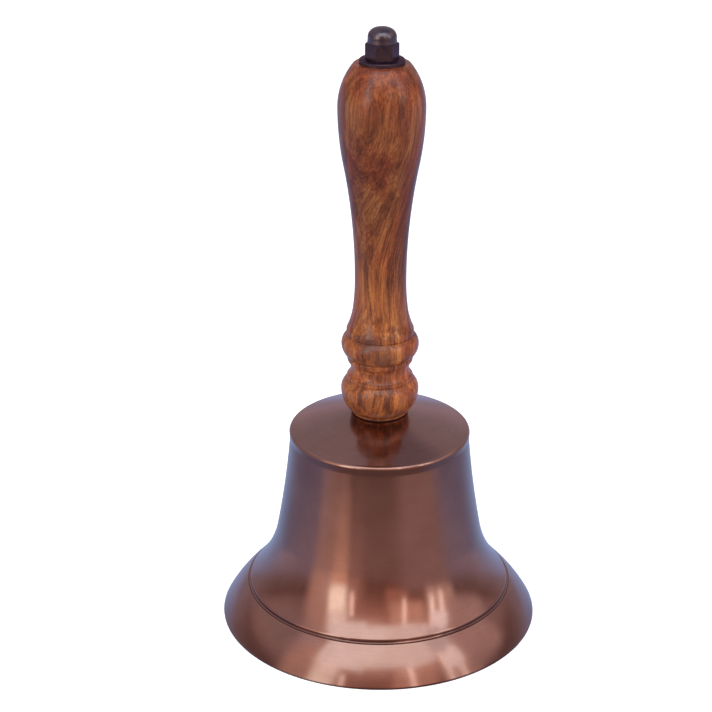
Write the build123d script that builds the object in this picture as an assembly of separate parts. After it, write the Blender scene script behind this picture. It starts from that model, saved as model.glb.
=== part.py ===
"""Wooden-handled handbell with a free-swinging clapper, in millimetres.

The bell stands on its rim.  The origin is the centre of the mouth plane and +Z
runs up the axis, through the crown, the handle and the cap nut.
The clapper link turns about Y in the tie rod's eye, and the clapper turns
about X in the link's lower eye.
"""

import os
from math import cos, radians, sin, sqrt

from build123d import *

# ---------------------------------------------------------------- driving sizes

# Bell: radii and heights of the turned outline
MOUTH_RADIUS = 75.0          # widest point of the lip
LIP_ROUND = 0.5              # rounding of the lip's outer edge
LIP_ROUND_TURN = 16.0        # how far that rounding turns past upright
LIP_ROLL_RADIUS = 3.0        # softer roll between the rounding and the band
BAND_FOOT_ANGLE = 29.0       # slope at the foot of the full lip band, from vertical
BAND_RADIUS = 66.0           # the band is a full, convex arc
BAND_TURN = 16.57            # how far it turns on its way up to the groove
FLARE_START = (61.5, 18.4)   # radius and height just above the groove
FLARE_ANGLE = 42.7           # slope at the foot of the flare, from vertical
WAIST_ANGLE = 10.7           # slope where the flare meets the waist
FLARE_RADIUS = 52.8
WAIST_RADIUS = 472.0
WAIST_TURN = 5.85            # how far the waist arc turns towards vertical
CROWN_RADIUS = 42.2
CROWN_EDGE_Z = 96.2
CROWN_RISE_SAGITTA = 0.3     # bulge of the shallow domed crown
SEAT_RADIUS = 13.2
SEAT_Z = 104.9               # flat seat on the crown for the handle
WALL = 2.7                   # waist wall
CROWN_WALL = 3.2
INNER_FLARE_ANGLE = 38.0     # slope of the inner wall down to the lip

# Tie rod and fasteners (M8)
ROD_RADIUS = 4.0
ROD_CLEARANCE = 0.2          # radial, through washers, nuts and wood
NUT_FLATS = 13.0
NUT_TURN = 6.0               # the cap nut's flats stand a little off square
CROWN_NUT_HEIGHT = 6.5
LOCK_WASHER_RADIUS = 7.4
LOCK_WASHER_HEIGHT = 2.0
LOCK_WASHER_GAP = 1.4
CROWN_WASHER_RADIUS = 12.0
CROWN_WASHER_HEIGHT = 1.6
SEAT_WASHER_RADIUS = 12.6
SEAT_WASHER_HEIGHT = 0.8

# Handle
HANDLE_TOP = 271.2
NECK_RADIUS = 11.72
POMMEL_RADIUS = 19.5
POMMEL_Z = 251.5             # height of its widest point

# Top fittings
CAP_WASHER_RADIUS = 10.1
CAP_WASHER_RIM = 1.8
CAP_WASHER_HEIGHT = 2.2
CAP_HEX_HEIGHT = 6.9
CAP_DOME_RADIUS = 6.5
TOTAL_HEIGHT = 287.2

# Clapper train
EYE_RING = 5.75              # centreline radius of both wire eyes
EYE_WIRE = 2.25              # wire radius of both eyes
EYE_GAP = 0.35               # play of a link's eye round the wire
LINK_EYE_RADIUS = 5.5
LINK_THICKNESS = 2.6
LINK_PITCH = 13.5            # distance between the link's two eyes
LINK_NECK_RADIUS = 2.6
STEM_RADIUS = 3.0
THREAD_RADIUS = 2.5          # M5 end of the clapper stem
BALL_RADIUS = 12.5
BALL_CENTRE_Z = 18.0
LOCK_NUT_FLATS = 8.0
LOCK_NUT_HEIGHT = 3.0

# ------------------------------------------------------------- worked-out places

FOOT_Z = SEAT_Z + SEAT_WASHER_HEIGHT
CROWN_UNDERSIDE = SEAT_Z - CROWN_WALL
LOCK_WASHER_TOP = CROWN_UNDERSIDE - CROWN_WASHER_HEIGHT
CROWN_NUT_TOP = LOCK_WASHER_TOP - LOCK_WASHER_HEIGHT
CROWN_NUT_BOTTOM = CROWN_NUT_TOP - CROWN_NUT_HEIGHT
ROD_HOLE = ROD_RADIUS + ROD_CLEARANCE
EYE_OUTER = EYE_RING + EYE_WIRE
ROD_EYE_Z = CROWN_NUT_BOTTOM - 1.2 - EYE_OUTER    # centre of the tie rod's eye
LINK_PIVOT_Z = ROD_EYE_Z - EYE_RING
CLAPPER_PIVOT_Z = LINK_PIVOT_Z - LINK_PITCH
CLAPPER_EYE_Z = CLAPPER_PIVOT_Z - EYE_RING
CAP_NUT_Z = HANDLE_TOP + CAP_WASHER_HEIGHT
CAP_HEX_TOP = CAP_NUT_Z + CAP_HEX_HEIGHT
BALL_FLAT_Z = BALL_CENTRE_Z + sqrt(BALL_RADIUS**2 - 4.6**2)


# ------------------------------------------------------------------ small helpers

def turned(outline):
    """Solid of revolution about Z from edges drawn as (radius, height)."""
    return revolve(Plane.XZ * make_face(outline), axis=Axis.Z)


def path(*points):
    """Straight edges through the points, in order."""
    return [Line(a, b) for a, b in zip(points, points[1:])]


def ring(outer, inner, bottom, height, edge=0.3):
    """Flat washer with its outer edges broken."""
    body = Pos(0, 0, bottom + height / 2) * Cylinder(outer, height)
    body = chamfer(body.edges().filter_by(GeomType.CIRCLE), edge)
    return body - Pos(0, 0, bottom + height / 2) * Cylinder(inner, height + 2)


def cone_cut(radius, height, slope=30):
    """Turned envelope that takes the corners off a hexagon's top face."""
    drop = (radius * 1.3 - radius) * sin(radians(slope)) / cos(radians(slope))
    return turned(path((0, 0), (radius * 1.3, 0), (radius * 1.3, height - drop),
                       (radius, height), (0, height), (0, 0)))


def hex_nut(flats, bore, bottom, height, both_faces=True):
    """Hexagon nut with chamfered corners and countersunk bore."""
    prism = extrude(RegularPolygon(flats / 2, 6, major_radius=False), height)
    prism &= cone_cut(flats * 0.475, height)
    if both_faces:
        prism &= Pos(0, 0, height) * Rot(180, 0, 0) * cone_cut(flats * 0.475, height)
    prism -= Pos(0, 0, height / 2) * Cylinder(bore, height + 2)
    for end in (0, height):
        prism -= Pos(0, 0, end) * Sphere(bore * 1.08)
    return Pos(0, 0, bottom) * prism


def wire_ring(centre_z, plane_turn):
    """Round wire eye whose hole looks along X, or along Y when turned 90."""
    return Pos(0, 0, centre_z) * Rot(0, 0, plane_turn) * Rot(0, 90, 0) * Torus(EYE_RING, EYE_WIRE)


# --------------------------------------------------------------------------- bell

def bell_body():
    """Bell wall: domed crown, tapered waist, flare and grooved lip band."""
    flare_tilt = radians(FLARE_ANGLE)
    waist_tilt = radians(WAIST_ANGLE)
    flare_centre = (FLARE_START[0] + FLARE_RADIUS * cos(flare_tilt),
                    FLARE_START[1] + FLARE_RADIUS * sin(flare_tilt))
    reach = WAIST_RADIUS - FLARE_RADIUS
    waist_centre = (flare_centre[0] + reach * cos(waist_tilt),
                    flare_centre[1] + reach * sin(waist_tilt))

    def flare(offset, tilt):
        return CenterArc(flare_centre, FLARE_RADIUS + offset, 180 + tilt, WAIST_ANGLE - tilt)

    def waist(offset, turn):
        return CenterArc(waist_centre, WAIST_RADIUS + offset, 180 + WAIST_ANGLE, -turn)

    # outside, from the foot of the lip up to the crown's bore
    round_centre = (MOUTH_RADIUS - LIP_ROUND, LIP_ROUND)
    lip_round = CenterArc(round_centre, LIP_ROUND, -90, 90 + LIP_ROUND_TURN)
    lip_roll = JernArc(lip_round @ 1, lip_round % 1, LIP_ROLL_RADIUS, BAND_FOOT_ANGLE - LIP_ROUND_TURN)
    band = JernArc(lip_roll @ 1, lip_roll % 1, BAND_RADIUS, BAND_TURN)
    band_end = band @ 1
    band_round = ThreePointArc(band_end, (band_end.X - 0.25, band_end.Y + 0.16),
                               (band_end.X - 0.52, band_end.Y + 0.12))
    start_x, start_z = FLARE_START
    groove = ThreePointArc(band_round @ 1, (start_x + 0.45, start_z - 1.88), (start_x, start_z - 1.1))
    body_round = ThreePointArc(groove @ 1, (start_x + 0.16, start_z - 0.5), FLARE_START)
    outer_flare = flare(0, FLARE_ANGLE)
    outer_waist = waist(0, WAIST_TURN)
    roll_start = (CROWN_RADIUS, CROWN_EDGE_Z - 1.5)
    roll = ThreePointArc(roll_start, (CROWN_RADIUS - 0.4, CROWN_EDGE_Z - 0.45),
                         (CROWN_RADIUS - 1.3, CROWN_EDGE_Z))
    dome = SagittaArc(roll @ 1, (SEAT_RADIUS, SEAT_Z), CROWN_RISE_SAGITTA)
    outside = [lip_round, lip_roll, band, band_round, groove, body_round,
               outer_flare, outer_waist, Line(outer_waist @ 1, roll_start), roll, dome]

    # inside, from the bore back down to the lip
    inner_waist = waist(WALL, WAIST_TURN * 0.86)
    inner_flare = flare(WALL, INNER_FLARE_ANGLE)
    shoulder_top = (34.0, CROWN_UNDERSIDE - 6.6)
    inner_seat = (14.5, CROWN_UNDERSIDE)
    inner_dome = SagittaArc(shoulder_top, inner_seat, CROWN_RISE_SAGITTA)
    shoulder = TangentArc(inner_waist @ 1, shoulder_top, tangent=inner_waist % 1)
    drop = (inner_flare @ 0).Y
    inner_tilt = radians(INNER_FLARE_ANGLE)
    inner_foot = ((inner_flare @ 0).X + drop * sin(inner_tilt) / cos(inner_tilt), 0)
    inside = path(dome @ 1, (ROD_HOLE, SEAT_Z), (ROD_HOLE, CROWN_UNDERSIDE), inner_seat)
    inside += [inner_dome, shoulder, inner_waist, inner_flare,
               Line(inner_flare @ 0, inner_foot), Line(inner_foot, lip_round @ 0)]
    return turned(outside + inside)


# ------------------------------------------------------------------------- handle

def handle():
    """Turned handle: rounded foot, two beads with a cove between, neck and pommel."""
    foot_edge = (13.4, FOOT_Z + 0.75)
    foot = path((ROD_HOLE, FOOT_Z), (12.9, FOOT_Z), (13.25, FOOT_Z + 0.15), foot_edge)
    lower_bead = [TangentArc((17.95, 117.0), foot_edge, tangent=(0, -1)),
                  TangentArc((17.95, 117.0), (15.5, 122.2), tangent=(0, 1))]
    collar = path((15.5, 122.2), (15.0, 122.5), (15.3, 122.85), (15.15, 124.0), (14.7, 124.2))
    cove = [ThreePointArc((14.7, 124.2), (13.45, 127.4), (14.35, 130.8))]
    astragal = [Line((14.35, 130.8), (14.8, 131.1)),
                ThreePointArc((14.8, 131.1), (15.15, 132.2), (15.05, 133.3))]
    crease = path((15.05, 133.3), (14.85, 133.55), (15.5, 133.9))
    upper_bead = [TangentArc((17.8, 139.6), (15.5, 133.9), tangent=(0, -1)),
                  TangentArc((17.8, 139.6), (15.65, 144.2), tangent=(0, 1))]
    shoulder = path((15.65, 144.2), (15.15, 144.5), (15.5, 144.85), (15.45, 147.0))
    neck_flare = TangentArc((12.55, 157.1), (15.45, 147.0), tangent=(0.123, -0.992))
    neck = TangentArc((NECK_RADIUS, 170.5), (12.55, 157.1), tangent=(0, -1))
    # swell: a hollow arc, then a full one, tangent where they meet
    swell_tilt = 11.11
    hollow = JernArc((NECK_RADIUS, 171.5), (0, 1), 278, -swell_tilt)
    full = TangentArc((POMMEL_RADIUS, POMMEL_Z), hollow @ 1, tangent=(0, -1))
    pommel = TangentArc((POMMEL_RADIUS, POMMEL_Z), (12.7, HANDLE_TOP - 0.3), tangent=(0, 1))
    top = path((12.7, HANDLE_TOP - 0.3), (12.2, HANDLE_TOP), (ROD_HOLE, HANDLE_TOP), (ROD_HOLE, FOOT_Z))
    outline = foot + lower_bead + collar + cove + astragal + crease + upper_bead + shoulder
    outline += [neck_flare, neck, Line((NECK_RADIUS, 170.5), (NECK_RADIUS, 171.5)), hollow, full, pommel]
    return turned(outline + top)


# ------------------------------------------------------------------- top fittings

def cap_washer():
    """Thick washer: upright rim with a broken edge, then a slight slope up to the nut's seat."""
    rim_top = HANDLE_TOP + CAP_WASHER_RIM
    return turned(path((ROD_HOLE, HANDLE_TOP), (CAP_WASHER_RADIUS, HANDLE_TOP),
                       (CAP_WASHER_RADIUS, rim_top - 0.3), (CAP_WASHER_RADIUS - 0.3, rim_top),
                       (7.8, CAP_NUT_Z), (ROD_HOLE, CAP_NUT_Z), (ROD_HOLE, HANDLE_TOP)))


def cap_nut():
    """Domed hexagonal cap nut with a blind bore."""
    base = extrude(RegularPolygon(NUT_FLATS / 2, 6, major_radius=False), CAP_HEX_HEIGHT)
    base &= cone_cut(NUT_FLATS * 0.5, CAP_HEX_HEIGHT)
    base = Pos(0, 0, CAP_NUT_Z) * Rot(0, 0, NUT_TURN) * base
    side_top = (CAP_DOME_RADIUS - 0.15, CAP_HEX_TOP + 1.9)
    shoulder_end = (3.8, TOTAL_HEIGHT - 0.75)
    outline = path((0, CAP_HEX_TOP - 1), (CAP_DOME_RADIUS, CAP_HEX_TOP - 1),
                   (CAP_DOME_RADIUS, CAP_HEX_TOP), side_top)
    outline.append(ThreePointArc(side_top, (5.75, TOTAL_HEIGHT - 2.35), shoulder_end))
    outline.append(TangentArc((0, TOTAL_HEIGHT), shoulder_end, tangent=(1, 0)))
    outline += path((0, TOTAL_HEIGHT), (0, CAP_HEX_TOP - 1))
    nut = base + turned(outline)
    bore_depth = TOTAL_HEIGHT - CAP_NUT_Z - 2.6
    return nut - Pos(0, 0, CAP_NUT_Z + bore_depth / 2) * Cylinder(ROD_RADIUS + 0.05, bore_depth)


# ---------------------------------------------------------------------- tie rod

def tie_rod():
    """Rod from the cap nut down to the eye that carries the clapper."""
    top = TOTAL_HEIGHT - 3.4
    outline = path((0, CROWN_NUT_BOTTOM - 2.6), (ROD_RADIUS - 0.9, CROWN_NUT_BOTTOM - 1.8),
                   (ROD_RADIUS, CROWN_NUT_BOTTOM - 0.9), (ROD_RADIUS, top - 0.9),
                   (ROD_RADIUS - 0.9, top), (0, top), (0, CROWN_NUT_BOTTOM - 2.6))
    return turned(outline) + wire_ring(ROD_EYE_Z, 0)


def lock_washer():
    """Split spring washer, shown flattened by the nut."""
    washer = ring(LOCK_WASHER_RADIUS, ROD_HOLE, CROWN_NUT_TOP, LOCK_WASHER_HEIGHT, edge=0.2)
    slit = Pos(6, 0, CROWN_NUT_TOP + LOCK_WASHER_HEIGHT / 2) * Rot(25, 0, 0)
    return washer - slit * Box(10, LOCK_WASHER_GAP, LOCK_WASHER_HEIGHT * 3)


# --------------------------------------------------------------------- clapper

def link_eye(pivot_z, turn):
    """Flat drilled eye whose hole looks along Y, or along X when turned 90."""
    disc = chamfer(Cylinder(LINK_EYE_RADIUS, LINK_THICKNESS).edges().filter_by(GeomType.CIRCLE), 0.3)
    disc -= Cylinder(EYE_WIRE + EYE_GAP, LINK_THICKNESS + 2)
    hole_mouth = Cone(EYE_WIRE + EYE_GAP, EYE_WIRE + EYE_GAP + 0.5, 0.5)
    lift = LINK_THICKNESS / 2 - 0.25
    disc -= Pos(0, 0, lift) * hole_mouth
    disc -= Pos(0, 0, -lift) * Rot(180, 0, 0) * hole_mouth
    return Pos(0, 0, pivot_z) * Rot(0, 0, turn) * Rot(90, 0, 0) * disc


def clapper_link():
    """Forged link with two eyes at right angles."""
    middle = (LINK_PIVOT_Z + CLAPPER_PIVOT_Z) / 2
    neck_length = LINK_PITCH - 2 * LINK_EYE_RADIUS + 3.2
    neck = Pos(0, 0, middle) * Cylinder(LINK_NECK_RADIUS, neck_length)
    neck = chamfer(neck.edges().filter_by(GeomType.CIRCLE), 0.5)
    return link_eye(LINK_PIVOT_Z, 0) + neck + link_eye(CLAPPER_PIVOT_Z, 90)


def clapper_rod():
    """Stem with a wire eye at the top and a threaded end inside the ball."""
    stem_top = CLAPPER_EYE_Z - EYE_RING - 0.6
    nut_top = BALL_FLAT_Z + LOCK_NUT_HEIGHT
    thread_end = BALL_CENTRE_Z - 4
    outline = path((0, stem_top), (2.2, stem_top), (STEM_RADIUS, stem_top - 2.6),
                   (STEM_RADIUS, nut_top + 3.2), (THREAD_RADIUS, nut_top + 2.6),
                   (THREAD_RADIUS, thread_end + 0.5), (THREAD_RADIUS - 0.5, thread_end),
                   (0, thread_end), (0, stem_top))
    return turned(outline) + wire_ring(CLAPPER_EYE_Z, 90)


def clapper_ball():
    """Striking ball with a small flat and a blind hole for the stem."""
    ball = Sphere(BALL_RADIUS) - Pos(0, 0, BALL_FLAT_Z - BALL_CENTRE_Z + 10) * Box(30, 30, 20)
    depth = BALL_FLAT_Z - (BALL_CENTRE_Z - 4.4)
    hole = Pos(0, 0, BALL_FLAT_Z - BALL_CENTRE_Z - depth / 2) * Cylinder(THREAD_RADIUS + 0.05, depth)
    return Pos(0, 0, BALL_CENTRE_Z) * (ball - hole)


# --------------------------------------------------------------------- assembly

PARTS = {
    "bell_body": bell_body(),
    "handle": handle(),
    "cap_washer": cap_washer(),
    "cap_nut": cap_nut(),
    "seat_washer": ring(SEAT_WASHER_RADIUS, ROD_HOLE, SEAT_Z, SEAT_WASHER_HEIGHT, edge=0.2),
    "tie_rod": tie_rod(),
    "crown_washer": ring(CROWN_WASHER_RADIUS, ROD_HOLE, LOCK_WASHER_TOP, CROWN_WASHER_HEIGHT),
    "lock_washer": lock_washer(),
    "crown_nut": hex_nut(NUT_FLATS, ROD_RADIUS + 0.05, CROWN_NUT_BOTTOM, CROWN_NUT_HEIGHT),
    "clapper_link": clapper_link(),
    "clapper_rod": clapper_rod(),
    "clapper_lock_nut": hex_nut(LOCK_NUT_FLATS, THREAD_RADIUS + 0.05, BALL_FLAT_Z, LOCK_NUT_HEIGHT),
    "clapper_ball": clapper_ball(),
}

os.makedirs("parts", exist_ok=True)
for name, shape in PARTS.items():
    shape.label = name
    export_step(shape, f"parts/{name}.step")

print("link pivot z", LINK_PIVOT_Z, "clapper pivot z", CLAPPER_PIVOT_Z, "crown underside", CROWN_UNDERSIDE)
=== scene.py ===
"""Looks for the handbell: lacquered copper bell, turned wooden handle, dark fittings
and a brass clapper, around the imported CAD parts.  Lengths are metres.

The bell and the handle are turned here again with finer meshes; the fittings and the
clapper train are the CAD parts with their own materials.
"""

from math import atan2, ceil, cos, degrees, hypot, pi, radians, sin

import bpy
from mathutils import Matrix, Vector


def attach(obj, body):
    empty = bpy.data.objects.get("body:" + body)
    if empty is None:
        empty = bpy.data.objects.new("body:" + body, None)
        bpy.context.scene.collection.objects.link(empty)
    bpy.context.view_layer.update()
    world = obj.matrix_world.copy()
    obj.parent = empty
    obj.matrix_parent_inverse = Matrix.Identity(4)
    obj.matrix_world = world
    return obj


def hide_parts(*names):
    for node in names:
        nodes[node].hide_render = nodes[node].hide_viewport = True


MM = 0.001

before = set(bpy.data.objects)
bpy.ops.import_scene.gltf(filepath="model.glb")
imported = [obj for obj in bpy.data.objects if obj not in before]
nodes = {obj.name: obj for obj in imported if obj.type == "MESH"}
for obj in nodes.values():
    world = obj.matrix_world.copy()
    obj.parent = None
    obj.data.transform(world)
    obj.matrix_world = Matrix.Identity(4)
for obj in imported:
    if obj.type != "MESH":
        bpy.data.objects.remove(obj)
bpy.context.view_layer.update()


# ------------------------------------------------------------------ outline helpers

def arc(centre, radius, start, turn, step):
    """Points on an arc from angle start through turn degrees, about step mm apart."""
    count = max(2, ceil(abs(radians(turn)) * radius / step))
    angles = [radians(start + turn * i / count) for i in range(count + 1)]
    return [(centre[0] + radius * cos(a), centre[1] + radius * sin(a)) for a in angles]


def arc_through(first, middle, last, step):
    """Arc through three points."""
    (ax, ay), (bx, by), (cx, cy) = first, middle, last
    twice = 2 * (ax * (by - cy) + bx * (cy - ay) + cx * (ay - by))
    a2 = ax * ax + ay * ay
    b2 = bx * bx + by * by
    c2 = cx * cx + cy * cy
    centre = ((a2 * (by - cy) + b2 * (cy - ay) + c2 * (ay - by)) / twice,
              (a2 * (cx - bx) + b2 * (ax - cx) + c2 * (bx - ax)) / twice)
    start = degrees(atan2(ay - centre[1], ax - centre[0]))
    end = degrees(atan2(cy - centre[1], cx - centre[0]))
    turn = end - start
    if twice > 0:
        turn %= 360
    else:
        turn = -(-turn % 360)
    return arc(centre, hypot(ax - centre[0], ay - centre[1]), start, turn, step)


def arc_from(first, last, heading, step):
    """Arc from first to last that leaves first along heading, given in degrees."""
    dx, dy = last[0] - first[0], last[1] - first[1]
    chord = hypot(dx, dy)
    swing = (degrees(atan2(dy, dx)) - heading + 180) % 360 - 180
    radius = chord / (2 * abs(sin(radians(swing))))
    side = 90 if swing > 0 else -90
    centre = (first[0] + radius * cos(radians(heading + side)),
              first[1] + radius * sin(radians(heading + side)))
    return arc(centre, radius, heading - side, 2 * swing, step)


def arc_turning(first, heading, radius, turn, step):
    """Arc of that radius that leaves first along heading and turns by turn degrees."""
    side = 90 if turn > 0 else -90
    centre = (first[0] + radius * cos(radians(heading + side)),
              first[1] + radius * sin(radians(heading + side)))
    return arc(centre, radius, heading - side, turn, step)


def straight(first, last, step):
    """Evenly spaced points from first to last."""
    count = max(1, ceil(hypot(last[0] - first[0], last[1] - first[1]) / step))
    return [(first[0] + (last[0] - first[0]) * i / count,
             first[1] + (last[1] - first[1]) * i / count) for i in range(count + 1)]


def chain(*runs):
    """One outline from runs that meet end to end."""
    points = []
    for run in runs:
        for point in run:
            if not points or hypot(point[0] - points[-1][0], point[1] - points[-1][1]) > 1e-6:
                points.append(point)
    if hypot(points[0][0] - points[-1][0], points[0][1] - points[-1][1]) < 1e-6:
        points.pop()
    return points


def lathe(name, outline, segments, crease=32, inside_from=None):
    """Closed turned solid from an outline in mm; faces after inside_from use material 2."""
    count = len(outline)
    verts = []
    for k in range(segments):
        turn = 2 * pi * k / segments
        c, s = cos(turn) * MM, sin(turn) * MM
        verts += [(r * c, r * s, z * MM) for r, z in outline]
    faces = []
    for k in range(segments):
        here, there = k * count, (k + 1) % segments * count
        for i in range(count):
            j = (i + 1) % count
            faces.append((here + i, there + i, there + j, here + j))
    mesh = bpy.data.meshes.new(name)
    mesh.from_pydata(verts, [], faces)
    mesh.update()
    mesh.shade_smooth()
    mesh.set_sharp_from_angle(angle=radians(crease))
    if inside_from is not None:
        inner = [1 if i % count >= inside_from else 0 for i in range(len(faces))]
        mesh.polygons.foreach_set("material_index", inner)
    piece = bpy.data.objects.new(name, mesh)
    bpy.context.scene.collection.objects.link(piece)
    return piece


# ---------------------------------------------------------------------- node graphs

class Graph:
    """Short calls for building a node tree."""

    def __init__(self, tree):
        """Starts from an emptied tree."""
        self.tree = tree
        tree.nodes.clear()

    def node(self, kind, sockets=None, **settings):
        """New node with its settings and input sockets filled in."""
        made = self.tree.nodes.new(kind)
        for key, value in settings.items():
            setattr(made, key, value)
        for key, value in (sockets or {}).items():
            self.put(made.inputs[key], value)
        return made

    def put(self, socket, value):
        """Links value into the socket, or sets it."""
        if isinstance(value, bpy.types.NodeSocket):
            self.tree.links.new(value, socket)
        else:
            socket.default_value = value

    def maths(self, operation, first, second=0.0, third=0.0):
        """Result of a math node."""
        made = self.node("ShaderNodeMath", {0: first, 1: second, 2: third},
                         operation=operation)
        return made.outputs[0]

    def vector(self, operation, first, second=(0, 0, 0)):
        """Result of a vector math node."""
        made = self.node("ShaderNodeVectorMath", {0: first, 1: second}, operation=operation)
        return made.outputs["Value" if operation in ("LENGTH", "DOT_PRODUCT", "DISTANCE") else "Vector"]

    def remap(self, value, low, high, to_low=0.0, to_high=1.0, smooth=True):
        """Value moved from one range to another and clamped."""
        made = self.node("ShaderNodeMapRange", {"Value": value, "From Min": low, "From Max": high,
                                                "To Min": to_low, "To Max": to_high},
                         interpolation_type="SMOOTHSTEP" if smooth else "LINEAR")
        return made.outputs["Result"]

    def band(self, value, low, high, soft):
        """1 between low and high, falling to 0 over soft outside them."""
        rise = self.remap(value, low - soft, low)
        fall = self.remap(value, high, high + soft, 1.0, 0.0)
        return self.maths("MULTIPLY", rise, fall)

    def mix(self, factor, first, second, mode="MIX"):
        """Colour mixed from two."""
        made = self.node("ShaderNodeMix", data_type="RGBA", blend_type=mode)
        self.put(made.inputs[0], factor)
        self.put(made.inputs[6], first)
        self.put(made.inputs[7], second)
        return made.outputs[2]

    def ramp(self, factor, stops, smooth=False):
        """Colour from (place, colour) stops."""
        made = self.node("ShaderNodeValToRGB", {"Fac": factor})
        ramp = made.color_ramp
        ramp.interpolation = "EASE" if smooth else "LINEAR"
        while len(ramp.elements) < len(stops):
            ramp.elements.new(0.5)
        for element, (place, colour) in zip(ramp.elements, stops):
            element.position = place
            element.color = colour
        return made.outputs["Color"]

    def stretch(self, coords, scale):
        """Coordinates scaled per axis."""
        made = self.node("ShaderNodeMapping", {"Vector": coords, "Scale": scale})
        return made.outputs["Vector"]

    def noise(self, coords, scale, detail=3.0, roughness=0.5, distortion=0.0):
        """Noise value."""
        made = self.node("ShaderNodeTexNoise", {"Vector": coords, "Scale": scale, "Detail": detail,
                                                "Roughness": roughness, "Distortion": distortion})
        return made.outputs[0]

    def background(self, colour, strength):
        """Background shader."""
        return self.node("ShaderNodeBackground", {"Color": colour, "Strength": strength}).outputs[0]

    def mix_shader(self, factor, first, second):
        """Mix of two shaders."""
        return self.node("ShaderNodeMixShader", {0: factor, 1: first, 2: second}).outputs[0]

    def bump(self, height, strength, distance, below=None):
        """Normal bumped by height, over the normal below."""
        made = self.node("ShaderNodeBump", {"Height": height, "Strength": strength,
                                            "Distance": distance})
        if below is not None:
            self.put(made.inputs["Normal"], below)
        return made.outputs["Normal"]


def rgb(red, green, blue):
    """Opaque linear colour."""
    return (red, green, blue, 1.0)


def new_material(name, **uniform):
    """A material with a Principled shader whose uniform values sit on its own sockets."""
    material = bpy.data.materials.new(name)
    material.use_nodes = True
    graph = Graph(material.node_tree)
    shader = graph.node("ShaderNodeBsdfPrincipled")
    for key, value in uniform.items():
        shader.inputs[key.replace("_", " ")].default_value = value
    output = graph.node("ShaderNodeOutputMaterial")
    graph.tree.links.new(shader.outputs[0], output.inputs["Surface"])
    place = graph.node("ShaderNodeTexCoord").outputs["Object"]
    return material, graph, shader, place


# ------------------------------------------------------------------------ materials

def copper(name, polished):
    """Lacquered copper with fine turning lines and a slightly uneven tone."""
    material, g, shader, place = new_material(
        name, Metallic=1.0, Anisotropic=0.55, Anisotropic_Rotation=0.25,
        Coat_Weight=0.55 if polished else 0.1, Coat_Roughness=0.07, Coat_IOR=1.45)
    tangent = g.node("ShaderNodeTangent", direction_type="RADIAL", axis="Z").outputs[0]
    g.put(shader.inputs["Tangent"], tangent)
    lines = g.noise(g.stretch(place, (60, 60, 9000)), 1.0, 4.0, 0.6)
    wide_lines = g.noise(g.stretch(place, (9, 9, 900)), 1.0, 2.0, 0.5)
    clouds = g.noise(place, 45.0, 4.0, 0.55)
    smudges = g.noise(g.stretch(place, (1, 1, 0.5)), 130.0, 5.0, 0.6, 0.4)
    if polished:
        bright, deep = rgb(0.365, 0.218, 0.176), rgb(0.315, 0.178, 0.140)
        base_rough, spread = 0.13, 0.07
    else:
        bright, deep = rgb(0.34, 0.17, 0.10), rgb(0.20, 0.09, 0.05)
        base_rough, spread = 0.34, 0.2
    tone = g.remap(clouds, 0.32, 0.7)
    colour = g.mix(tone, bright, deep)
    colour = g.mix(g.remap(lines, 0.35, 0.75, 0.0, 0.26), colour, rgb(0.20, 0.10, 0.075))
    if polished:
        # painted shade darkens the groove and the rim's very edge; the copper is also darker towards the
        # rim
        spot = g.node("ShaderNodeSeparateXYZ", {0: place})
        height = spot.outputs["Z"]
        towards_front = g.maths("MULTIPLY", spot.outputs["Y"], -1.0)
        round_turn = g.maths("ARCTAN2", spot.outputs["X"], towards_front)
        # painted highlight: the painted groove shade is weakened over a short stretch right of the front
        groove_highlight_gap = g.band(round_turn, radians(9), radians(25), radians(4))
        # painted shade: a dark band round the groove
        groove = g.band(height, 16.75 * MM, 17.35 * MM, 0.25 * MM)
        groove = g.maths("MULTIPLY", groove, g.maths("MULTIPLY_ADD", groove_highlight_gap, -0.7, 0.8))
        colour = g.mix(groove, colour, rgb(0.07, 0.03, 0.022))
        colour = g.mix(g.remap(height, 2 * MM, 10 * MM, 0.42, 0.0), colour, rgb(0.15, 0.075, 0.062))
        # painted shade on the rim's very edge, where the bell stands on the floor
        colour = g.mix(g.remap(height, 0.5 * MM, 1.4 * MM, 0.75, 0.0), colour, rgb(0.075, 0.055, 0.06))
    g.put(shader.inputs["Base Color"], colour)
    rough = g.maths("MULTIPLY_ADD", g.remap(smudges, 0.35, 0.75), spread, base_rough)
    g.put(shader.inputs["Roughness"], rough)
    bumped = g.bump(lines, 0.10 if polished else 0.25, 0.05 * MM)
    g.put(shader.inputs["Normal"], g.bump(wide_lines, 0.10 if polished else 0.3, 0.03 * MM, bumped))
    return material


# Where the wood's three knots lie near the surface, how far they push the rings out,
# and how dark their hearts are
KNOTS = (((-0.0052, -0.0150, 0.1450), 0.005, 0.85), ((0.0002, -0.0172, 0.1375), 0.006, 0.75),
         ((0.0006, -0.0145, 0.1250), 0.003, 0.50))


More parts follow.
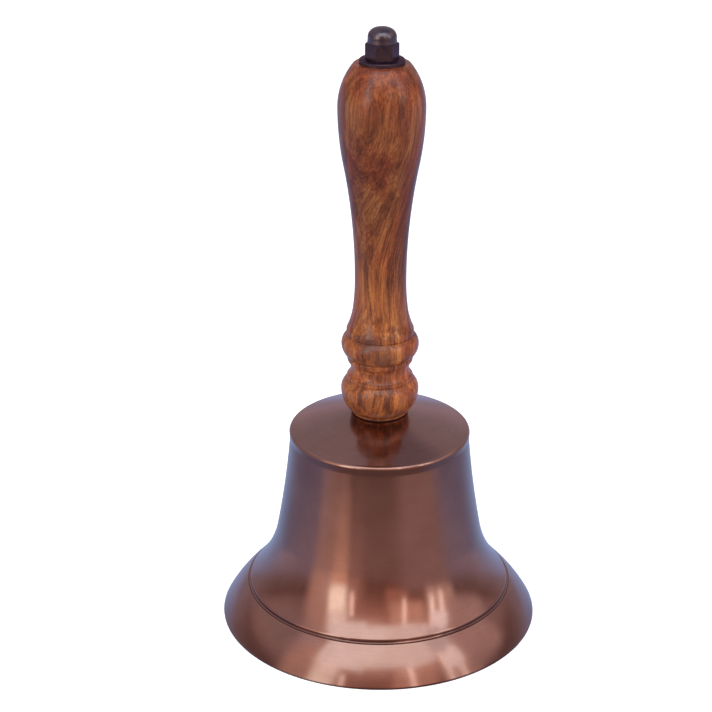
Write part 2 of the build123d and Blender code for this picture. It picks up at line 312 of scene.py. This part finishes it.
def wood():
    """Varnished rosewood turned along the grain, with streaks, pores and three knots."""
    material, g, shader, place = new_material(
        "handle_wood", Coat_Weight=0.7, Coat_Roughness=0.16, Coat_IOR=1.5, IOR=1.4,
        Specular_IOR_Level=0.2)
    warp = g.node("ShaderNodeTexNoise", {"Vector": g.stretch(place, (1, 1, 0.3)), "Scale": 34.0,
                                         "Detail": 2.0, "Roughness": 0.45}).outputs["Color"]
    drift = g.vector("MULTIPLY", g.vector("SUBTRACT", warp, (0.5, 0.5, 0.5)), (0.017, 0.017, 0.0))
    bent = g.vector("ADD", place, drift)
    # growth rings round a pith that runs beside the handle; the grain leans most in the swell
    flat = g.node("ShaderNodeSeparateXYZ", {0: bent})
    z = flat.outputs["Z"]
    slant = g.maths("ADD", g.remap(z, 0.178, 0.250, 0.004, -0.012), g.maths("MULTIPLY", z, -0.05))
    lean_x = g.maths("ADD", flat.outputs["X"], slant)
    lean_y = g.maths("MULTIPLY_ADD", z, -0.05, flat.outputs["Y"])
    leaned = g.node("ShaderNodeCombineXYZ", {"X": lean_x, "Y": lean_y, "Z": z}).outputs[0]
    from_pith = g.vector("LENGTH", g.node("ShaderNodeCombineXYZ", {
        "X": g.maths("ADD", lean_x, 0.021), "Y": g.maths("ADD", lean_y, -0.012), "Z": 0.0}).outputs[0])
    for centre, pull, _ in KNOTS:
        near = g.vector("DISTANCE", place, centre)
        swell = g.remap(near, 0.0, 0.020, pull, 0.0)
        from_pith = g.maths("ADD", from_pith, swell)
    rings = g.maths("SINE", g.maths("MULTIPLY", from_pith, 2 * pi / (3.4 * MM)))
    fibre = g.noise(g.stretch(leaned, (1500, 1500, 22)), 1.0, 3.0, 0.5)
    streak = g.noise(g.stretch(leaned, (270, 270, 7)), 1.0, 3.0, 0.55)
    patch = g.noise(g.stretch(place, (1, 1, 0.45)), 52.0, 2.0, 0.5)
    speckle = g.noise(g.stretch(place, (2300, 2300, 700)), 1.0, 1.0, 0.5)
    figure = g.maths("MULTIPLY_ADD", rings, 0.05, 0.5)
    figure = g.maths("ADD", figure, g.remap(fibre, 0.32, 0.68, -0.15, 0.15))
    figure = g.maths("ADD", figure, g.remap(speckle, 0.3, 0.7, -0.08, 0.08))
    figure = g.maths("ADD", figure, g.remap(streak, 0.34, 0.66, -0.20, 0.17))
    figure = g.maths("ADD", figure, g.remap(patch, 0.36, 0.64, -0.12, 0.12))
    colour = g.ramp(figure, ((0.0, rgb(0.044, 0.011, 0.006)), (0.26, rgb(0.112, 0.026, 0.009)),
                             (0.50, rgb(0.210, 0.050, 0.014)), (0.74, rgb(0.310, 0.086, 0.022)),
                             (1.0, rgb(0.43, 0.150, 0.042))))
    # redder and more golden stretches
    hue = g.noise(g.stretch(place, (1, 1, 0.5)), 64.0, 1.0, 0.4)
    tint = g.mix(g.remap(hue, 0.36, 0.64), rgb(1.06, 0.88, 0.82), rgb(0.97, 1.13, 1.10))
    colour = g.mix(1.0, colour, tint, "MULTIPLY")
    # the wood's tone changes along the handle and is darkest in the swell; the pale band round the rim
    # of the foot is a painted highlight
    along = g.ramp(g.remap(z, 0.105, 0.270, smooth=False), (
        (0.0, rgb(1.45, 1.60, 1.65)), (0.009, rgb(1.45, 1.60, 1.65)), (0.016, rgb(0.95, 0.93, 0.84)),
        (0.07, rgb(1.06, 1.14, 1.18)), (0.13, rgb(1.06, 1.15, 1.12)),
        (0.19, rgb(0.82, 0.92, 1.02)), (0.24, rgb(0.88, 0.94, 0.98)), (0.34, rgb(0.94, 0.93, 0.91)),
        (0.50, rgb(0.64, 0.62, 0.68)), (0.62, rgb(0.44, 0.40, 0.46)), (0.76, rgb(0.44, 0.39, 0.44)),
        (0.92, rgb(0.60, 0.57, 0.60))))
    colour = g.mix(1.0, colour, along, "MULTIPLY")
    # darker heart of the knots
    nudged = g.vector("ADD", place, g.vector("MULTIPLY", drift, (0.25, 0.25, 0)))
    for centre, _, heart in KNOTS:
        near = g.vector("DISTANCE", nudged, centre)
        colour = g.mix(g.remap(near, 0.0005, 0.0085, heart, 0.0), colour, rgb(0.070, 0.026, 0.018))
    # pores and dark vessel lines: thin dashes along the grain
    dashes = g.noise(g.stretch(leaned, (1900, 1900, 60)), 1.0, 1.0, 0.4)
    pores = g.remap(dashes, 0.60, 0.67)
    vessels = g.remap(g.noise(g.stretch(leaned, (1000, 1000, 15)), 1.0, 1.0, 0.4), 0.60, 0.66)
    colour = g.mix(g.maths("MULTIPLY", pores, 0.42), colour, rgb(0.040, 0.012, 0.006))
    colour = g.mix(g.maths("MULTIPLY", vessels, 0.36), colour, rgb(0.050, 0.014, 0.007))
    g.put(shader.inputs["Base Color"], colour)
    g.put(shader.inputs["Roughness"], g.remap(fibre, 0.3, 0.7, 0.4, 0.55))
    first = g.bump(fibre, 0.12, 0.10 * MM)
    g.put(shader.inputs["Normal"], g.bump(pores, -0.35, 0.06 * MM, first))
    worn = g.noise(place, 150.0, 3.0, 0.5)
    g.put(shader.inputs["Coat Roughness"], g.remap(worn, 0.3, 0.7, 0.09, 0.18))
    return material


DOME_FOOT = 0.2808      # the nut's dome is glossier than its hexagon
ABOVE_WASHER = 0.2740   # over the washer's top, so the washer keeps the thin coat all over


def dark_bronze(name, glossy_from, **coat):
    """Oil-dark bronze of the cap nut and washer, with a glossier skin above glossy_from."""
    material, g, shader, place = new_material(name, Metallic=0.9,
                                              Specular_Tint=rgb(0.60, 0.46, 0.58), **coat)
    height = g.node("ShaderNodeSeparateXYZ", {0: place}).outputs["Z"]
    g.put(shader.inputs["Coat Weight"], g.remap(height, glossy_from - 0.5 * MM, glossy_from, 0.22, 0.95))
    patches = g.noise(place, 420.0, 5.0, 0.6)
    grain = g.noise(place, 1900.0, 2.0, 0.5)
    # painted highlight: sharp edges are lightened, found by their pointiness
    geometry = g.node("ShaderNodeNewGeometry")
    edge = g.remap(geometry.outputs["Pointiness"], 0.52, 0.62)
    colour = g.mix(g.remap(patches, 0.35, 0.7), rgb(0.020, 0.013, 0.030), rgb(0.050, 0.030, 0.054))
    colour = g.mix(g.maths("MULTIPLY", edge, 0.4), colour, rgb(0.16, 0.10, 0.10))
    g.put(shader.inputs["Base Color"], colour)
    g.put(shader.inputs["Roughness"], g.remap(patches, 0.3, 0.7, 0.26, 0.46))
    g.put(shader.inputs["Normal"], g.bump(grain, 0.3, 0.07 * MM))
    g.put(shader.inputs["Coat Normal"], g.bump(patches, 0.25, 0.12 * MM))
    return material


def zinc():
    """Zinc-plated steel of the tie rod, inner washers and nuts, link and clapper stem."""
    material, g, shader, place = new_material("zinc_steel", Metallic=1.0)
    spangle = g.node("ShaderNodeTexVoronoi", {"Vector": place, "Scale": 900.0}).outputs["Color"]
    drawn = g.noise(g.stretch(place, (900, 900, 120)), 1.0, 4.0, 0.6)
    colour = g.mix(0.08, rgb(0.60, 0.60, 0.58), spangle)
    colour = g.mix(g.remap(drawn, 0.5, 0.8, 0.0, 0.45), colour, rgb(0.30, 0.28, 0.25))
    g.put(shader.inputs["Base Color"], colour)
    g.put(shader.inputs["Roughness"], g.remap(drawn, 0.3, 0.7, 0.28, 0.5))
    g.put(shader.inputs["Normal"], g.bump(drawn, 0.2, 0.08 * MM))
    return material


def brass():
    """Cast and turned brass of the clapper ball, with patchy tarnish."""
    material, g, shader, place = new_material("clapper_brass", Metallic=1.0)
    turned = g.noise(g.stretch(place, (25, 25, 5200)), 1.0, 3.0, 0.6)
    tarnish = g.noise(place, 160.0, 5.0, 0.6)
    colour = g.mix(g.remap(tarnish, 0.35, 0.72), rgb(0.80, 0.58, 0.26), rgb(0.45, 0.29, 0.12))
    g.put(shader.inputs["Base Color"], colour)
    g.put(shader.inputs["Roughness"], g.remap(tarnish, 0.3, 0.7, 0.22, 0.42))
    g.put(shader.inputs["Normal"], g.bump(turned, 0.25, 0.04 * MM))
    return material


def leather():
    """Dark leather washer under the handle."""
    material, g, shader, place = new_material("washer_leather")
    cells = g.node("ShaderNodeTexVoronoi", {"Vector": place, "Scale": 1400.0},
                   feature="DISTANCE_TO_EDGE").outputs["Distance"]
    tone = g.noise(place, 500.0, 4.0, 0.6)
    g.put(shader.inputs["Base Color"], g.mix(tone, rgb(0.040, 0.014, 0.010), rgb(0.085, 0.028, 0.020)))
    g.put(shader.inputs["Roughness"], g.remap(tone, 0.3, 0.7, 0.55, 0.8))
    g.put(shader.inputs["Normal"], g.bump(g.remap(cells, 0.0, 0.12), 0.4, 0.08 * MM))
    return material


# --------------------------------------------------------------------- bell, handle

# Turned shapes in millimetres: radii, heights, and slopes in degrees from vertical
BORE = 4.2
MOUTH_RADIUS = 75.0
LIP_ROUND = 0.5
FLARE_START = (61.5, 18.4)   # radius and height just above the groove
FLARE_ANGLE = 42.7           # slope at the foot of the flare
FLARE_RADIUS = 52.8
WAIST_ANGLE = 10.7           # slope where the flare meets the waist
WAIST_RADIUS = 472.0
WAIST_TURN = 5.85
CROWN_RADIUS = 42.2
CROWN_EDGE_Z = 96.2
CROWN_BULGE = 0.3
SEAT = (13.2, 104.9)         # flat that the handle's washer sits on
WALL = 2.7
INNER_FLARE_ANGLE = 38.0
INNER_WAIST_TURN = WAIST_TURN * 0.86
CROWN_UNDERSIDE = 101.7
HANDLE_FOOT = 105.7
HANDLE_TOP = 271.2


def bell_outline():
    """Outside up, bore, then inside down; returns the outline and where the inside starts."""
    flare_centre = (FLARE_START[0] + FLARE_RADIUS * cos(radians(FLARE_ANGLE)),
                    FLARE_START[1] + FLARE_RADIUS * sin(radians(FLARE_ANGLE)))
    reach = WAIST_RADIUS - FLARE_RADIUS
    waist_centre = (flare_centre[0] + reach * cos(radians(WAIST_ANGLE)),
                    flare_centre[1] + reach * sin(radians(WAIST_ANGLE)))
    lip = arc((MOUTH_RADIUS - LIP_ROUND, LIP_ROUND), LIP_ROUND, -90, 106, 0.12)
    roll = arc_turning(lip[-1], 106, 3.0, 13.0, 0.2)
    band = arc_turning(roll[-1], 119, 66.0, 16.57, 0.5)
    end_r, end_z = band[-1]
    band_edge = arc_through(band[-1], (end_r - 0.25, end_z + 0.16),
                            (end_r - 0.52, end_z + 0.12), 0.08)
    groove = arc_through(band_edge[-1], (61.95, 16.52), (61.5, 17.3), 0.1)
    body_edge = arc_through(groove[-1], (61.66, 17.9), FLARE_START, 0.1)
    flare = arc(flare_centre, FLARE_RADIUS, 180 + FLARE_ANGLE, WAIST_ANGLE - FLARE_ANGLE, 0.6)
    waist = arc(waist_centre, WAIST_RADIUS, 180 + WAIST_ANGLE, -WAIST_TURN, 0.9)
    crown_foot = (CROWN_RADIUS, CROWN_EDGE_Z - 1.5)
    crown_roll = arc_through(crown_foot, (CROWN_RADIUS - 0.4, CROWN_EDGE_Z - 0.45),
                             (CROWN_RADIUS - 1.3, CROWN_EDGE_Z), 0.12)
    dome = sagitta_arc(crown_roll[-1], SEAT, CROWN_BULGE, 0.7)
    outer = chain(lip, roll, band, band_edge, groove, body_edge, flare, waist,
                  straight(waist[-1], crown_foot, 1.0), crown_roll, dome,
                  straight(dome[-1], (BORE, SEAT[1]), 3))
    inner_waist = arc(waist_centre, WAIST_RADIUS + WALL, 180 + WAIST_ANGLE, -INNER_WAIST_TURN, 2.0)
    inner_flare = arc(flare_centre, FLARE_RADIUS + WALL, 180 + INNER_FLARE_ANGLE,
                      WAIST_ANGLE - INNER_FLARE_ANGLE, 1.5)
    shoulder_top = (34.0, 95.1)
    shoulder = arc_from(inner_waist[-1], shoulder_top, 90 + WAIST_ANGLE - INNER_WAIST_TURN, 0.8)
    inner_edge = (14.5, CROWN_UNDERSIDE)
    inner_dome = sagitta_arc(shoulder_top, inner_edge, CROWN_BULGE, 2.0)
    slope = sin(radians(INNER_FLARE_ANGLE)) / cos(radians(INNER_FLARE_ANGLE))
    foot = (inner_flare[0][0] + inner_flare[0][1] * slope, 0)
    inner = chain(straight((BORE, SEAT[1]), (BORE, CROWN_UNDERSIDE), 2),
                  straight((BORE, CROWN_UNDERSIDE), inner_edge, 3),
                  inner_dome[::-1], shoulder[::-1], inner_waist[::-1], inner_flare[::-1],
                  straight(inner_flare[0], foot, 2), straight(foot, (MOUTH_RADIUS - LIP_ROUND, 0), 1))
    return chain(outer, inner), len(outer)


def sagitta_arc(first, last, bulge, step):
    """Arc from first to last that stands bulge proud to the right-hand side of the run."""
    dx, dy = last[0] - first[0], last[1] - first[1]
    chord = hypot(dx, dy)
    middle = ((first[0] + last[0]) / 2 + bulge * dy / chord,
              (first[1] + last[1]) / 2 - bulge * dx / chord)
    return arc_through(first, middle, last, step)


def handle_outline():
    """Foot, two beads with a cove between, neck, swell and pommel."""
    fine, coarse = 0.35, 0.8
    lower_bead = (17.95, 117.0)
    upper_bead = (17.8, 139.6)
    neck_radius = 11.72
    pommel = (19.5, 251.5)
    swell = arc_turning((neck_radius, 171.5), 90, 278, -11.11, coarse)
    return chain(
        straight((BORE, HANDLE_FOOT), (12.9, HANDLE_FOOT), 3),
        straight((12.9, HANDLE_FOOT), (13.25, 105.85), 0.2),
        straight((13.25, 105.85), (13.4, 106.45), 0.3),
        arc_from(lower_bead, (13.4, 106.45), -90, fine)[::-1],
        arc_from(lower_bead, (15.5, 122.2), 90, fine),
        straight((15.5, 122.2), (15.0, 122.5), 0.3), straight((15.0, 122.5), (15.3, 122.85), 0.3),
        straight((15.3, 122.85), (15.15, 124.0), 0.6), straight((15.15, 124.0), (14.7, 124.2), 0.3),
        arc_through((14.7, 124.2), (13.45, 127.4), (14.35, 130.8), fine),
        straight((14.35, 130.8), (14.8, 131.1), 0.3),
        arc_through((14.8, 131.1), (15.15, 132.2), (15.05, 133.3), fine),
        straight((15.05, 133.3), (14.85, 133.55), 0.2), straight((14.85, 133.55), (15.5, 133.9), 0.3),
        arc_from(upper_bead, (15.5, 133.9), -90, fine)[::-1],
        arc_from(upper_bead, (15.65, 144.2), 90, fine),
        straight((15.65, 144.2), (15.15, 144.5), 0.3), straight((15.15, 144.5), (15.5, 144.85), 0.3),
        straight((15.5, 144.85), (15.45, 147.0), 0.8),
        arc_from((12.55, 157.1), (15.45, 147.0), -82.9, fine)[::-1],
        arc_from((neck_radius, 170.5), (12.55, 157.1), -90, coarse)[::-1],
        swell,
        arc_from(pommel, swell[-1], -90, coarse)[::-1],
        arc_from(pommel, (12.7, 270.9), 90, fine),
        straight((12.7, 270.9), (12.2, HANDLE_TOP), 0.2),
        straight((12.2, HANDLE_TOP), (BORE, HANDLE_TOP), 3),
        straight((BORE, HANDLE_TOP), (BORE, HANDLE_FOOT), 8))


def make_bell():
    """Turned bell, polished outside and dull inside, in place of the CAD one."""
    outline, inside_from = bell_outline()
    bell = lathe("bell_shell", outline, 288, inside_from=inside_from)
    bell.data.materials.append(copper("bell_copper", True))
    bell.data.materials.append(copper("bell_inside", False))
    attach(bell, "bell")
    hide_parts("bell_body")


def make_handle():
    """Turned wooden handle, in place of the CAD one."""
    grip = lathe("turned_handle", handle_outline(), 160, crease=24)
    grip.data.materials.append(wood())
    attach(grip, "bell")
    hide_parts("handle")


def dress(material, *names):
    """Puts one material on CAD nodes that keep their shape."""
    for name in names:
        slots = nodes[name].data.materials
        slots.clear()
        slots.append(material)


# -------------------------------------------------------------------- light, camera

REFLECTED_LEVEL = 2.45   # how bright the studio is in reflections, against the white backdrop


# Soft boxes and gaps between them, later ones over earlier ones: turn from the front and
# height, each as from, to and soft edge in degrees, then colour
SOFT_BOXES = (
    (-38, -26, 16, 2, 24, 20, rgb(0.34, 0.20, 0.17)),
    (-66, -44, 14, 1, 20, 28, rgb(0.45, 0.315, 0.28)),
    (10, 25, 7, 9, 42, 9, rgb(0.35, 0.18, 0.14)),
    (14, 40, 7, 22, 42, 9, rgb(0.53, 0.34, 0.28)),
    (34, 62, 24, -16, 2, 9, rgb(0.225, 0.155, 0.155)),
    (51, 74, 6, 11, 42, 12, rgb(0.50, 0.37, 0.34)),
    (76, 98, 12, 18, 60, 10, rgb(0.36, 0.27, 0.27)),
    (105, 165, 20, 52, 82, 8, rgb(0.120, 0.100, 0.125)),
    (-45, -39, 10, -7, 2, 8, rgb(0.58, 0.37, 0.28)),
    (-47, -36.5, 7, 8, 24, 9, rgb(1.08, 1.10, 1.02)),
    (-46, -36, 9, 30, 46, 7, rgb(0.86, 0.84, 0.84)),
    (-28.2, -25.8, 1.6, 11, 29, 5, rgb(1.08, 0.94, 0.87)),
    (23.8, 26.2, 1.6, 17, 46, 5, rgb(1.14, 1.02, 0.95)),
    (51.6, 54.4, 1.5, 14, 40, 5, rgb(1.06, 0.99, 0.96)),
    (61.3, 64.7, 1.5, 11, 40, 6, rgb(0.97, 0.91, 0.90)),
    (54, 67, 3, 28, 38, 4, rgb(0.84, 0.86, 0.92)),
    (-50, -15, 5, 38, 74, 3, rgb(0.80, 0.82, 0.87)),
    (-22, 50, 6, 42, 74, 4, rgb(0.80, 0.82, 0.85)),
    (24, 46, 5, 39, 50, 3, rgb(0.78, 0.78, 0.82)),
    (52, 68, 5, 44, 74, 5, rgb(0.53, 0.51, 0.56)),
    (-112, -84, 12, 30, 62, 10, rgb(0.21, 0.16, 0.17)),
)


def studio_world():
    """Soft surroundings: white to look at, and a studio of soft boxes in the reflections."""
    world = bpy.data.worlds.new("studio")
    bpy.context.scene.world = world
    world.use_nodes = True
    g = Graph(world.node_tree)
    look = g.node("ShaderNodeTexCoord").outputs["Generated"]
    parts = g.node("ShaderNodeSeparateXYZ", {0: look})
    east, north, up = (parts.outputs[k] for k in "XYZ")
    height = g.maths("MULTIPLY", g.maths("ARCSINE", up), 180 / pi)
    turn = g.maths("MULTIPLY", g.maths("ARCTAN2", east, g.maths("MULTIPLY", north, -1.0)), 180 / pi)
    side = g.maths("ABSOLUTE", turn)
    level = g.remap(height, -90, 90, smooth=False)

    def by_height(*stops):
        """Colour by elevation, from (degrees, red, green, blue) stops."""
        return g.ramp(level, [((e + 90) / 180, rgb(r, gr, b)) for e, r, gr, b in stops])

    front = by_height((-90, 0.40, 0.46, 0.58), (-72, 0.30, 0.33, 0.40), (-62, 0.09, 0.06, 0.06),
                      (-18, 0.10, 0.065, 0.067), (-12, 0.188, 0.127, 0.120), (2, 0.148, 0.077, 0.064),
                      (14, 0.19, 0.10, 0.08), (26, 0.30, 0.16, 0.135), (37, 0.46, 0.29, 0.24),
                      (72, 0.30, 0.26, 0.28), (90, 0.16, 0.14, 0.17))
    flank = by_height((-90, 0.24, 0.28, 0.36), (-72, 0.18, 0.20, 0.25), (-62, 0.07, 0.06, 0.09),
                      (-20, 0.11, 0.11, 0.18), (-14, 0.21, 0.185, 0.25), (-5, 0.195, 0.165, 0.225),
                      (2, 0.15, 0.11, 0.115), (11, 0.12, 0.07, 0.07), (19, 0.21, 0.145, 0.15),
                      (34, 0.25, 0.18, 0.19), (50, 0.32, 0.28, 0.34), (90, 0.16, 0.14, 0.17))
    back = by_height((-90, 0.20, 0.24, 0.32), (-22, 0.12, 0.15, 0.25), (-7, 0.16, 0.165, 0.265),
                     (0, 0.15, 0.12, 0.15), (9, 0.20, 0.145, 0.17), (30, 0.17, 0.15, 0.17),
                     (62, 0.185, 0.155, 0.18), (90, 0.15, 0.13, 0.16))
    seen = g.mix(g.remap(side, 48, 80), front, flank)
    seen = g.mix(g.remap(side, 112, 146), seen, back)
    for t0, t1, t_soft, h0, h1, h_soft, colour in SOFT_BOXES:
        box = g.maths("MULTIPLY", g.band(turn, t0, t1, t_soft), g.band(height, h0, h1, h_soft))
        seen = g.mix(box, seen, colour)
    path = g.node("ShaderNodeLightPath")
    ambient = g.mix(g.remap(up, -0.1, 0.5), rgb(0.12, 0.12, 0.13), rgb(0.46, 0.47, 0.50))
    shader = g.background(seen, REFLECTED_LEVEL)
    shader = g.mix_shader(path.outputs["Is Diffuse Ray"], shader, g.background(ambient, 1.0))
    shader = g.mix_shader(path.outputs["Is Camera Ray"], shader, g.background(rgb(1, 1, 1), 1.0))
    output = g.node("ShaderNodeOutputWorld")
    g.tree.links.new(shader, output.inputs["Surface"])


def soft_light(name, place, target, width, length, watts, colour):
    """Area light that lights surfaces but stays out of their reflections."""
    data = bpy.data.lights.new(name, "AREA")
    data.shape = "RECTANGLE"
    data.size = width
    data.size_y = length
    data.energy = watts
    data.color = colour
    lamp = bpy.data.objects.new(name, data)
    lamp.location = place
    lamp.rotation_euler = (Vector(target) - Vector(place)).to_track_quat("-Z", "Y").to_euler()
    lamp.visible_glossy = False
    bpy.context.scene.collection.objects.link(lamp)


def make_floor():
    """Plain pale floor."""
    mesh = bpy.data.meshes.new("floor")
    half = 12.0
    corners = [(-half, -half, 0), (half, -half, 0), (half, half, 0), (-half, half, 0)]
    mesh.from_pydata(corners, [], [(0, 1, 2, 3)])
    floor = bpy.data.objects.new("floor", mesh)
    bpy.context.scene.collection.objects.link(floor)
    material, g, shader, place = new_material("pale_floor", Roughness=0.9)
    speck = g.noise(place, 60.0, 4.0, 0.6)
    g.put(shader.inputs["Base Color"], g.mix(speck, rgb(0.80, 0.79, 0.77), rgb(0.84, 0.83, 0.81)))
    shader.inputs["Specular IOR Level"].default_value = 0.1
    shader.inputs["Emission Color"].default_value = rgb(1, 1, 1)
    shader.inputs["Emission Strength"].default_value = 0.42
    mesh.materials.append(material)
    floor.visible_glossy = False


CAMERA_PLACE = (-0.01106, -0.8388, 0.50335)
CAMERA_LENS = 100.66
CAMERA_DOWN = 23.85   # degrees below level
CAMERA_ROLL = 0.1


def make_camera():
    """Long lens, looking down at the bell from the front."""
    data = bpy.data.cameras.new("camera")
    data.sensor_width = 36.0
    data.lens = CAMERA_LENS
    data.clip_start = 0.01
    camera = bpy.data.objects.new("camera", data)
    bpy.context.scene.collection.objects.link(camera)
    pitch, roll = radians(90 - CAMERA_DOWN), radians(CAMERA_ROLL)
    camera.matrix_world = (Matrix.Translation(CAMERA_PLACE)
                           @ Matrix.Rotation(pitch, 4, "X") @ Matrix.Rotation(roll, 4, "Z"))
    bpy.context.scene.camera = camera


# ------------------------------------------------------------------------- assembly

make_bell()
make_handle()
dress(dark_bronze("nut_bronze", DOME_FOOT, Coat_Roughness=0.17, Coat_IOR=1.85), "cap_nut")
dress(dark_bronze("washer_bronze", ABOVE_WASHER, Coat_Roughness=0.25, Coat_IOR=1.6), "cap_washer")
dress(zinc(), "tie_rod", "crown_washer", "lock_washer", "crown_nut",
      "clapper_link", "clapper_rod", "clapper_lock_nut")
dress(brass(), "clapper_ball")
dress(leather(), "seat_washer")

studio_world()
soft_light("key", (-0.35, -1.25, 1.3), (0, 0, 0.12), 1.0, 1.0, 22, (1.0, 0.99, 0.98))
soft_light("fill", (1.2, -0.8, 0.9), (0, 0, 0.12), 1.2, 1.2, 10, (0.98, 0.99, 1.0))
soft_light("back", (-0.6, 1.4, 1.0), (0, 0, 0.14), 1.2, 1.2, 9, (0.99, 0.99, 1.0))
make_floor()
make_camera()

scene = bpy.context.scene
scene.view_settings.view_transform = "Standard"
scene.view_settings.look = "None"
